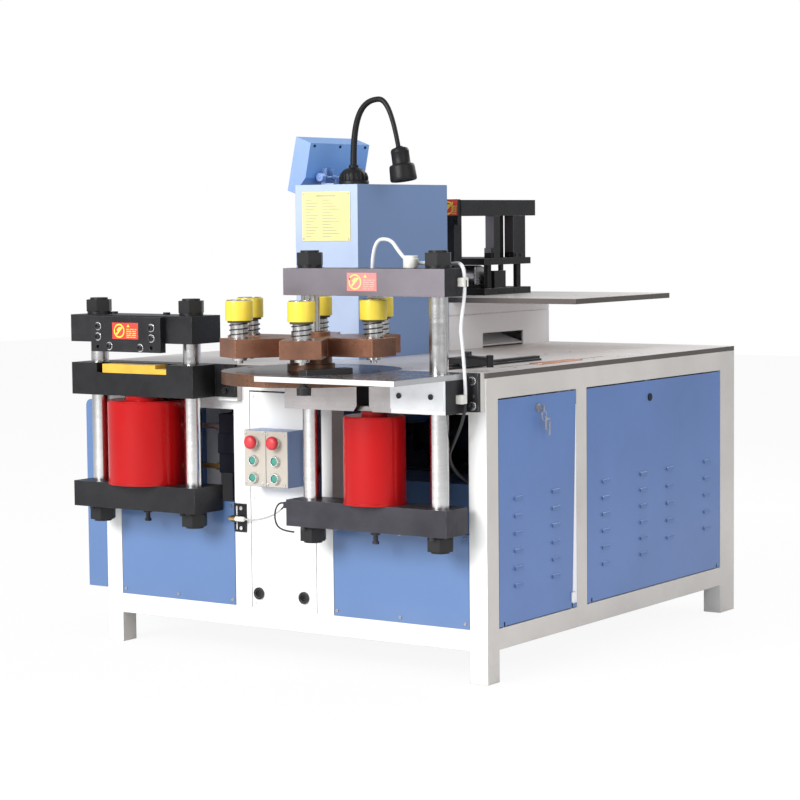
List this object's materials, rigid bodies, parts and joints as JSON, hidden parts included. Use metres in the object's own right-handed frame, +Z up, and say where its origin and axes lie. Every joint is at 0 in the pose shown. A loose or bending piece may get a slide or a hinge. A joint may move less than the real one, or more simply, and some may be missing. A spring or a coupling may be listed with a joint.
{
  "type": "busbar punching machine",
  "caption": "Floor-standing hydraulic busbar machine: shear press, turret punch press and bending press on a welded table with control cabinet, buttons and work lamp.",
  "frame": {"origin": "centre of the machine's outline, on the floor", "axes": "+X to the machine's right as the operator at the presses sees it, +Y from the presses to the back, +Z up"},
  "size_m": [1.5794, 1.9199, 1.6798],
  "materials": {
    "frame_paint": "white enamel on welded tube",
    "blue_paint": "blue enamel on sheet",
    "table_steel": "ground steel plate",
    "black_oxide": "blackened steel",
    "rod_chrome": "hard chromed bar",
    "cylinder_red": "gloss red enamel",
    "turret_brown": "browned steel",
    "bare_steel": "ground steel",
    "urethane": "yellow urethane sleeve on a steel punch",
    "spring_steel": "black spring wire",
    "yellow_zinc": "yellow enamel",
    "estop_red": "moulded plastic",
    "button_green": "moulded plastic",
    "black_plastic": "moulded plastic",
    "hose_rubber": "hose and cable sheath",
    "lead_grey": "cable sheath",
    "machine_grey": "grey enamel"
  },
  "bodies": {
    "machine": {"frame": "frame_paint", "table_plates": "table_steel", "punch_table": "table_steel", "fixed_panels": "blue_paint", "centre_cover": "frame_paint", "side_box": "blue_paint", "button_box": "blue_paint", "shear_bed": "black_oxide", "feed_block": "yellow_zinc", "punch_bed": "bare_steel", "rams": "cylinder_red", "bend_pedestal": "frame_paint", "bend_table": "table_steel", "bend_frame": "black_oxide", "bend_top": "black_oxide", "control_cabinet": "blue_paint", "signal_lamp": "black_plastic", "gauge_rail": "black_oxide", "oil_tank": "blue_paint", "pump_unit": "machine_grey", "sensor_bracket": "black_oxide", "leads": "hose_rubber", "press_lead": "lead_grey"},
    "shear_press": {"shear_lower_yoke": "black_oxide", "shear_upper_yoke": "black_oxide", "shear_tie_rods": "rod_chrome", "shear_cylinder": "cylinder_red", "shear_blade_holder": "black_oxide"},
    "punch_press": {"punch_lower_yoke": "black_oxide", "punch_upper_yoke": "black_oxide", "punch_tie_rods": "rod_chrome", "punch_cylinder": "cylinder_red"},
    "turret": {"turret_plate": "turret_brown", "die_disc": "turret_brown", "spring_1": "spring_steel", "spring_2": "spring_steel", "spring_3": "spring_steel", "spring_4": "spring_steel", "spring_5": "spring_steel", "spring_6": "spring_steel"},
    "bend_slide": {"bend_die": "bare_steel"},
    "front_door": {"side_panel_front": "blue_paint"},
    "rear_door": {"side_panel_rear": "blue_paint"},
    "front_cam": {"lock_front": "bare_steel"},
    "rear_cam": {"lock_rear": "bare_steel"},
    "stop_left": {"estop_left": "estop_red"},
    "stop_right": {"estop_right": "estop_red"},
    "screen": {"hmi_housing": "blue_paint"},
    "gauge_carriage": {"gauge_block": "black_oxide"},
    "gauge_arm": {"gauge_lever": "black_plastic"},
    "key_1": {"button_1": "button_green"},
    "key_2": {"button_2": "button_green"},
    "key_3": {"button_3": "button_green"},
    "key_4": {"button_4": "button_green"},
    "tool_1": {"punch_1": "urethane"},
    "tool_2": {"punch_2": "urethane"},
    "tool_3": {"punch_3": "urethane"},
    "tool_4": {"punch_4": "urethane"},
    "tool_5": {"punch_5": "urethane"},
    "tool_6": {"punch_6": "urethane"}
  },
  "joints": [
    {"name": "shear_stroke", "type": "slide", "parent": "machine", "child": "shear_press", "axis": [0, 0, -1], "range_m": [0, 0.045]},
    {"name": "punch_stroke", "type": "slide", "parent": "machine", "child": "punch_press", "axis": [0, 0, -1], "range_m": [0, 0.04], "deforming": ["press_lead"]},
    {"name": "bend_stroke", "type": "slide", "parent": "machine", "child": "bend_slide", "axis": [1, 0, 0], "range_m": [0, 0.04]},
    {"name": "turret_index", "type": "hinge", "parent": "machine", "child": "turret", "pos_m": [0.22525, -0.656, 0.95], "axis": [0, 0, 1], "continuous": true},
    {"name": "front_door_tilt", "type": "hinge", "parent": "machine", "child": "front_door", "pos_m": [0.75825, -0.295, 0.161], "axis": [0, 1, 0], "range_deg": [0, 30]},
    {"name": "rear_door_tilt", "type": "hinge", "parent": "machine", "child": "rear_door", "pos_m": [0.75825, 0.42, 0.161], "axis": [0, 1, 0], "range_deg": [0, 30]},
    {"name": "front_lock_turn", "type": "hinge", "parent": "front_door", "child": "front_cam", "pos_m": [0.75525, -0.295, 0.762], "axis": [1, 0, 0], "range_deg": [0, 90]},
    {"name": "rear_lock_turn", "type": "hinge", "parent": "rear_door", "child": "rear_cam", "pos_m": [0.75525, 0.377, 0.747], "axis": [1, 0, 0], "range_deg": [0, 90]},
    {"name": "stop_left_press", "type": "slide", "parent": "machine", "child": "stop_left", "axis": [0, 1, 0], "range_m": [0, 0.004], "stiffness_N_per_m": 1500, "springref_m": -0.003},
    {"name": "stop_right_press", "type": "slide", "parent": "machine", "child": "stop_right", "axis": [0, 1, 0], "range_m": [0, 0.004], "stiffness_N_per_m": 1500, "springref_m": -0.003},
    {"name": "key_1_press", "type": "slide", "parent": "machine", "child": "key_1", "axis": [0, 1, 0], "range_m": [0, 0.004], "stiffness_N_per_m": 800, "springref_m": -0.003},
    {"name": "key_2_press", "type": "slide", "parent": "machine", "child": "key_2", "axis": [0, 1, 0], "range_m": [0, 0.004], "stiffness_N_per_m": 800, "springref_m": -0.003},
    {"name": "key_3_press", "type": "slide", "parent": "machine", "child": "key_3", "axis": [0, 1, 0], "range_m": [0, 0.004], "stiffness_N_per_m": 800, "springref_m": -0.003},
    {"name": "key_4_press", "type": "slide", "parent": "machine", "child": "key_4", "axis": [0, 1, 0], "range_m": [0, 0.004], "stiffness_N_per_m": 800, "springref_m": -0.003},
    {"name": "screen_tilt", "type": "hinge", "parent": "machine", "child": "screen", "pos_m": [-0.11875, -0.03, 1.438], "axis": [0, 1, 0], "range_deg": [-8, 25]},
    {"name": "gauge_slide", "type": "slide", "parent": "machine", "child": "gauge_carriage", "axis": [0, 1, 0], "range_m": [-0.06, 0.3]},
    {"name": "gauge_swing", "type": "hinge", "parent": "gauge_carriage", "child": "gauge_arm", "pos_m": [0.60125, -0.412, 0.91], "axis": [0, 0, 1], "range_deg": [-20, 90]},
    {"name": "tool_1_press", "type": "slide", "parent": "turret", "child": "tool_1", "axis": [0, 0, -1], "range_m": [0, 0.032], "stiffness_N_per_m": 4000, "springref_m": -0.02, "deforming": ["spring_1"]},
    {"name": "tool_2_press", "type": "slide", "parent": "turret", "child": "tool_2", "axis": [0, 0, -1], "range_m": [0, 0.032], "stiffness_N_per_m": 4000, "springref_m": -0.02, "deforming": ["spring_2"]},
    {"name": "tool_3_press", "type": "slide", "parent": "turret", "child": "tool_3", "axis": [0, 0, -1], "range_m": [0, 0.032], "stiffness_N_per_m": 4000, "springref_m": -0.02, "deforming": ["spring_3"]},
    {"name": "tool_4_press", "type": "slide", "parent": "turret", "child": "tool_4", "axis": [0, 0, -1], "range_m": [0, 0.032], "stiffness_N_per_m": 4000, "springref_m": -0.02, "deforming": ["spring_4"]},
    {"name": "tool_5_press", "type": "slide", "parent": "turret", "child": "tool_5", "axis": [0, 0, -1], "range_m": [0, 0.032], "stiffness_N_per_m": 4000, "springref_m": -0.02, "deforming": ["spring_5"]},
    {"name": "tool_6_press", "type": "slide", "parent": "turret", "child": "tool_6", "axis": [0, 0, -1], "range_m": [0, 0.032], "stiffness_N_per_m": 4000, "springref_m": -0.02, "deforming": ["spring_6"]}
  ],
  "couplings": [
    {"joint": "tool_1_press", "follows": "punch_stroke", "ratio": 0.8}
  ]
}
